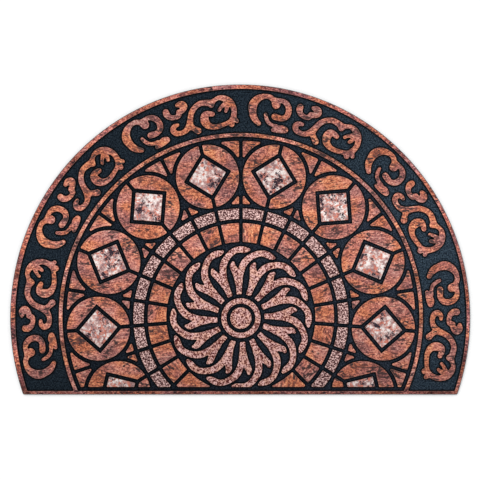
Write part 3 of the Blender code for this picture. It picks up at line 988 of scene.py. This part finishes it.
def border_flock(colours):
    """The flock of the thin ring and of the rims, which are redder and darkest along the foot."""
    finish = Finish("border flock")
    place = finish.place()
    foot = finish.step(finish.along(place, "Y"), *FOOT_RIM)
    rims = foot + finish.step(finish.out(place), *RIMS_BEYOND)
    paint = finish.tinted(copper_stone(finish, colours, place, contrast=1.4), colours.border, rims)
    shade = finish.noise(place, 60.0)
    return finish.flock(finish.shaded(paint, (shade * 2.4 - 0.22) * (1.0 - foot * 0.33)), colours)


def rose_granite_flock(colours):
    """The flock of the petals and the hub: pale clouds and scattered brown specks."""
    finish = Finish("rose granite flock")
    place = finish.cut_place()
    broad = finish.noise(place, 24.0)
    grain = finish.noise(place, 3.0, detail=3.0, rough=0.65, distortion=0.2)
    tones = (colours.rose_dark, colours.rose_speck, colours.rose, colours.rose_light)
    paint = finish.tones(broad * 0.4 + grain * 7.8 - 3.55, (0.0, 0.28, 0.5, 0.85), tones)
    golden = finish.noise(place, 11.0)
    paint = finish.tinted(paint, colours.orange, finish.step(golden, 0.45, 0.6) * 0.5)
    specks = finish.noise(place, 4.2, 1.2, distortion=0.6)
    return finish.flock(finish.blend(finish.step(specks, 0.59, 0.63), paint, colours.rose_dark), colours)


def speckled_flock(colours):
    """The flock of the outer tiles: pale stone, thick with dark specks."""
    finish = Finish("speckled flock")
    place = finish.cut_place()
    broad = finish.noise(place, 20.0, detail=1.0)
    grain = finish.noise(place, 2.8, 1.15, detail=3.0, rough=0.65, distortion=0.3)
    tones = (colours.dark_speck, colours.pale_stone, colours.pale_light)
    paint = finish.tones(broad * 0.2 + grain * 8.4 - 3.98, (0.08, 0.5, 0.9), tones)
    return finish.flock(paint, colours)


def marble_flock(colours):
    """The flock of the diamonds: white and pink patches, cool clouds and clusters of navy grains."""
    finish = Finish("marble flock")
    place = finish.cut_place()
    clouds = finish.noise(place, 20.0)
    grain = finish.noise(place, 5.5)
    tones = (colours.marble_grey, colours.marble, colours.marble_light)
    paint = finish.tones(clouds * 2.0 + grain * 2.6 - 1.85, (0.0, 0.4, 0.85), tones)
    pink = finish.noise(place, 9.0, rough=0.6, distortion=0.8)
    cluster = finish.noise(place, 17.0, detail=1.0)
    marks = finish.noise(place, 5.2, detail=3.0, rough=0.65, distortion=1.0) + cluster * 0.9
    paint = finish.blend(finish.step(pink + marks * 0.3, 0.78, 0.88) * 0.85, paint, colours.marble_pink)
    paint = finish.blend(finish.step(marks, 0.96, 1.06) * 0.55, paint, colours.marble_grey)
    return finish.flock(finish.blend(finish.step(marks, 1.04, 1.1), paint, colours.marble_navy), colours)


def moulded_rubber(colours):
    """The moulding: slate ground with light grains, near black painted shade beside the pads, and a matt
    edge.
    """
    finish = Finish("moulded rubber")
    place = finish.place()
    gap = finish.add("ShaderNodeAttribute", {"attribute_name": "gap"}, output="Fac")
    grain = finish.noise(place, 2.6, detail=3.0, rough=0.7)
    tones = (colours.rubber, colours.slate, colours.slate_grain)
    ground = finish.tones(grain * 2.6 - 0.8, (0.15, 0.5, 0.95), tones)
    # The ground lighter towards the right
    lighter_right = 0.72 + finish.step(finish.along(place, "X"), *LIGHTER_RIGHT) * 0.7
    mosaic = finish.step(finish.out(place), THIN_RING[1], THIN_RING[0])
    ground = finish.tinted(ground, colours.mosaic_ground, mosaic)
    # Painted light across the middle and painted shade towards the foot, and lighter towards the right
    ground = finish.shaded(ground, finish.painted_light(place) * lighter_right)
    # Painted shade: near black on the ground beside the pads, fading out into the slate
    beyond_pad_shade = finish.step(gap, *PAD_SHADE_FADE)
    paint = finish.blend(beyond_pad_shade, colours.rubber, ground)
    finish.surfaced(paint, 0.66 + beyond_pad_shade * 0.24, {"Specular IOR Level": 0.02})
    finish.bump(finish.noise(place, RUBBER_GRAIN, detail=3.0, rough=0.7), RUBBER_DEPTH)
    return finish.material


def floor_finish(stage):
    """The pale floor."""
    finish = Finish("pale floor")
    mottle = finish.noise(finish.place(), 160.0)
    finish.surfaced(finish.shaded(stage.floor_tone, 0.99 + mottle * 0.02), 0.9, {"Specular IOR Level": 0.1})
    return finish.material


# Operators


class DOORMAT_OT_border(bpy.types.Operator):
    """Raise the rim, the rim along the straight edge and the thin ring, which are joined"""

    bl_idname = "doormat.border"
    bl_label = "Border"

    def execute(self, context):
        sizes = context.scene.doormat_sizes
        outside = rounded(segment(OUTER_RADIUS - RUBBER_LIP, FOOT + RUBBER_LIP), MAT_CORNER)
        rim_end = bearing_at_height(RIM_INSIDE, FOOT_RIM_TOP)
        ring_end = bearing_at_height(THIN_RING[1], FOOT_RIM_TOP)
        band = arc(RIM_INSIDE, rim_end, -rim_end) + arc(THIN_RING[1], -ring_end, ring_end)
        holes = [rounded(band, CORNER_RADIUS), rounded(segment(THIN_RING[0], FOOT_RIM_TOP), CORNER_RADIUS)]
        holes = [placed(hole, sizes.pattern_shift) for hole in holes]
        loops = [placed(outside)] + [hole[::-1] for hole in holes]
        form = Form()
        form.shell(loops, pad_profile(sizes))
        finish = border_flock(context.scene.doormat_colours)
        finish_pads("border_pads", form, finish, holes)
        return {"FINISHED"}


class DOORMAT_OT_scrolls(bpy.types.Operator):
    """Raise the scrolls of the border, all running the same way round"""

    bl_idname = "doormat.scrolls"
    bl_label = "Scrolls"

    def execute(self, context):
        sizes = context.scene.doormat_sizes
        finish = copper_finish(context)
        unit = [pad_of(strokes) for strokes in SCROLL_PADS]
        outlines = ring_of(unit, finish, sizes, sizes.scrolls, sizes.scroll_pitch)
        add_pads("scroll_pads", outlines, finish, sizes)
        return {"FINISHED"}


class DOORMAT_OT_circles(bpy.types.Operator):
    """Raise the circles in halves, and the three-cornered pads between them"""

    bl_idname = "doormat.circles"
    bl_label = "Circles"

    def execute(self, context):
        sizes = context.scene.doormat_sizes
        finish = copper_finish(context)
        pitch = 2 * sizes.tile_pitch
        half = circle_half()
        halves = ring_of([half, mirrored(half)], finish, sizes, sizes.circles, pitch)
        degrees = math.degrees(sizes.tile_pitch)
        corners = [spandrel(degrees, SPANDREL_OUTSIDE, True), spandrel(degrees, SPANDREL_INSIDE, False)]
        corners += [mirrored(corner) for corner in corners]
        between = ring_of(corners, finish, sizes, sizes.circles + 1, pitch)
        outlines = mosaic_part(halves) + mosaic_part(between, TIP_RADIUS)
        add_pads("circle_pads", outlines, finish, sizes)
        return {"FINISHED"}


class DOORMAT_OT_diamonds(bpy.types.Operator):
    """Raise the marble diamonds inside the circles"""

    bl_idname = "doormat.diamonds"
    bl_label = "Diamonds"

    def execute(self, context):
        sizes = context.scene.doormat_sizes
        finish = marble_flock(context.scene.doormat_colours)
        outlines = mosaic_part(ring_of([diamond()], finish, sizes, sizes.circles, 2 * sizes.tile_pitch))
        add_pads("diamond_pads", outlines, finish, sizes)
        return {"FINISHED"}


class DOORMAT_OT_tiles(bpy.types.Operator):
    """Raise the ring of square tiles and the ring of speckled tiles"""

    bl_idname = "doormat.tiles"
    bl_label = "Tiles"

    def execute(self, context):
        sizes = context.scene.doormat_sizes
        finish = copper_finish(context)
        squares = mosaic_part(tile_ring(SQUARE_TILES, finish, sizes))
        add_pads("square_tiles", squares, finish, sizes, quarter_turns=True)
        finish = speckled_flock(context.scene.doormat_colours)
        speckled = mosaic_part(tile_ring(SPECKLED_TILES, finish, sizes))
        add_pads("speckled_tiles", speckled, finish, sizes)
        return {"FINISHED"}


class DOORMAT_OT_rosette(bpy.types.Operator):
    """Raise the whirl of forked petals, the hub ring and the disc"""

    bl_idname = "doormat.rosette"
    bl_label = "Rosette"

    def execute(self, context):
        sizes = context.scene.doormat_sizes
        finish = rose_granite_flock(context.scene.doormat_colours)
        petal = pad_of(PETAL, PETAL_ROOT)
        turn = 2 * math.pi / sizes.petals
        petals = ring_of([petal], finish, sizes, sizes.petals, turn, 0.0, ROSETTE_DROP)
        circles = [circle(radius) for radius in (DISC_RADIUS, *HUB_RING)]
        disc, hole, ring = ring_of(circles, finish, sizes, drop=ROSETTE_DROP)
        add_pads("petal_pads", mosaic_part(petals) + [disc], finish, sizes)
        form = Form()
        form.shell([ring, hole[::-1]], pad_profile(sizes), HUB_CUT)
        finish_pads("hub_ring", form, finish, [ring, hole])
        return {"FINISHED"}


class DOORMAT_OT_moulding(bpy.types.Operator):
    """Mould the rubber body that carries the pads, and lay the mat"""

    bl_idname = "doormat.moulding"
    bl_label = "Moulding"

    def execute(self, context):
        sizes = context.scene.doormat_sizes
        outside = placed(rounded(segment(OUTER_RADIUS, FOOT), MAT_CORNER))
        ground, lip = sizes.ground_top, sizes.pad_top - LIP_DROP * MM
        profile = (  # inset and height, up the wall, over the lip and down to the ground
            (0.0010, 0.0),
            (0.0003, 0.0002),
            (0.0, 0.0009),
            (0.0, lip - 0.0007),
            (0.0002, lip - 0.0002),
            (0.0007, lip),
            (0.0016, lip),
            (0.0018, ground),
        )
        form = Form()
        form.shell([outside], profile, lattice=self.lattice(outside))
        points = np.array(form.points)
        gaps = self.gaps(points)
        for index in np.flatnonzero((points[:, 2] == ground) & (gaps > BESIDE_PADS)):
            x, y, z = form.points[index]
            place = Vector((x, y, 0.0)) / MM
            fine = noise.noise(place / FINE_RIPPLE + Vector((0, 0, 9)))
            ripple = noise.noise(place / COARSE_RIPPLE) + 0.5 * fine
            form.points[index] = (x, y, z + sizes.unevenness * ripple)
        mesh = form.mesh("rubber_moulding", moulded_rubber(context.scene.doormat_colours))
        mesh.attributes.new("gap", "FLOAT", "POINT").data.foreach_set("value", gaps.astype(np.float32))
        piece = add_piece("rubber_moulding", mesh)
        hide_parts("doormat")
        return {"FINISHED"}

    @staticmethod
    def lattice(outside):
        """Points of the ground in rows of triangles, a little inside the outline."""
        pitch = LATTICE * MM
        inner = np.array(outside) * LATTICE_SHARE
        low, high = inner.min(axis=0), inner.max(axis=0)
        points = []
        for row, y in enumerate(np.arange(low[1] + MM, high[1], pitch * math.sqrt(0.75))):
            for x in np.arange(low[0] + (row % 2) * pitch / 2, high[0], pitch):
                if math.hypot(x, (y - ARC_CENTRE.y) / DEPTH_STRETCH) < LATTICE_REACH * MM:
                    points.append(Vector((x, y)))
        return points

    @staticmethod
    def gaps(points):
        """How far each point of the ground lies from the nearest pad, in millimetres."""
        marks = []
        for outline in OUTLINES:
            for start, end in zip(outline, outline[1:] + outline[:1]):
                pieces = max(1, math.ceil((end - start).length / (MARK_SPACING * MM)))
                marks += [start.lerp(end, step / pieces) for step in range(pieces)]
        tree = KDTree(len(marks))
        for index, mark in enumerate(marks):
            tree.insert((mark.x, mark.y, 0.0), index)
        tree.balance()
        return np.array([min(FAR_FROM_PADS, tree.find((x, y, 0.0))[2] / MM) for x, y, _ in points])


class DOORMAT_OT_stage(bpy.types.Operator):
    """Make the pale floor, the soft studio light and the camera straight above the mat"""

    bl_idname = "doormat.stage"
    bl_label = "Stage"

    def execute(self, context):
        stage = context.scene.doormat_stage
        half = stage.floor / 2
        corners = [(-half, -half, 0), (half, -half, 0), (half, half, 0), (-half, half, 0)]
        mesh = bpy.data.meshes.new("floor")
        mesh.from_pydata(corners, [], [(0, 1, 2, 3)])
        mesh.materials.append(floor_finish(stage))
        floor = bpy.data.objects.new("floor", mesh)
        context.scene.collection.objects.link(floor)
        world = bpy.data.worlds.new("studio")
        world.use_nodes = True
        background = world.node_tree.nodes["Background"]
        background.inputs["Color"].default_value = (1.0, 1.0, 1.0, 1.0)
        background.inputs["Strength"].default_value = stage.sky
        context.scene.world = world
        lamp = bpy.data.lights.new("overhead lamp", "SUN")
        lamp.energy = stage.lamp
        lamp.angle = LAMP_WIDTH
        lit = bpy.data.objects.new("overhead lamp", lamp)
        lit.rotation_euler = LAMP_TILT
        context.scene.collection.objects.link(lit)
        camera = bpy.data.cameras.new("camera")
        camera.lens = stage.lens
        camera.sensor_width = SENSOR_WIDTH
        distance = stage.seen * stage.lens / SENSOR_WIDTH
        camera.clip_start = 0.1
        camera.clip_end = 10 * distance
        seen = bpy.data.objects.new("camera", camera)
        seen.location = (*stage.aim, distance + CAMERA_BASE)
        context.scene.collection.objects.link(seen)
        context.scene.camera = seen
        context.scene.view_settings.view_transform = "Standard"
        return {"FINISHED"}


def mosaic_part(outlines, radius=CORNER_RADIUS):
    """What is left of the mosaic's outlines above its foot, with rounded corners."""
    foot = MOSAIC_FOOT * MM * DEPTH_STRETCH + ARC_CENTRE.y
    kept = [part for part in (above(outline, foot) for outline in outlines) if part]
    return [rounded(simplified(part, CHORD_ERROR * MM), radius * MM) for part in kept]


def tile_ring(radii, finish, sizes):
    """A ring of tiles between the radial grooves, with one more past the last groove on each side."""
    pitch = math.degrees(sizes.tile_pitch)
    grooves = sizes.last_groove
    end = grooves * pitch
    single = tile(radii, 0.0, pitch)
    whole = ring_of([single], finish, sizes, 2 * grooves, sizes.tile_pitch, -math.radians(end))
    beyond = tile(radii, end, end + LONG_TILE * pitch)
    return whole + ring_of([beyond, mirrored(beyond)], finish, sizes)


def copper_finish(context):
    """The copper flock, made once."""
    return bpy.data.materials.get("copper flock") or copper_flock(context.scene.doormat_colours)


class DOORMAT_PT_panel(bpy.types.Panel):
    """Lists the doormat's sizes, colours and steps"""

    bl_idname = "DOORMAT_PT_panel"
    bl_label = "Doormat"
    bl_space_type = "VIEW_3D"
    bl_region_type = "UI"
    bl_category = "Doormat"

    def draw(self, context):
        layout = self.layout
        scene = context.scene
        for group in (scene.doormat_sizes, scene.doormat_colours, scene.doormat_stage):
            box = layout.box()
            for name in group.__annotations__:
                box.prop(group, name)
        for step in STEPS:
            layout.operator(step.bl_idname)


STEPS = (
    DOORMAT_OT_border,
    DOORMAT_OT_scrolls,
    DOORMAT_OT_circles,
    DOORMAT_OT_diamonds,
    DOORMAT_OT_tiles,
    DOORMAT_OT_rosette,
    DOORMAT_OT_moulding,
    DOORMAT_OT_stage,
)
CLASSES = (MatSizes, MatColours, StageLook, *STEPS, DOORMAT_PT_panel)


def register():
    """Registers the classes and the scene's properties."""
    for made in CLASSES:
        bpy.utils.register_class(made)
    bpy.types.Scene.doormat_sizes = PointerProperty(type=MatSizes)
    bpy.types.Scene.doormat_colours = PointerProperty(type=MatColours)
    bpy.types.Scene.doormat_stage = PointerProperty(type=StageLook)


def unregister():
    """Takes the scene's properties and the classes away."""
    del bpy.types.Scene.doormat_stage
    del bpy.types.Scene.doormat_colours
    del bpy.types.Scene.doormat_sizes
    for made in reversed(CLASSES):
        bpy.utils.unregister_class(made)


def main():
    """Builds the doormat on its floor."""
    register()
    for step in STEPS:
        group, name = step.bl_idname.split(".")
        getattr(getattr(bpy.ops, group), name)()


if __name__ == "__main__":
    main()
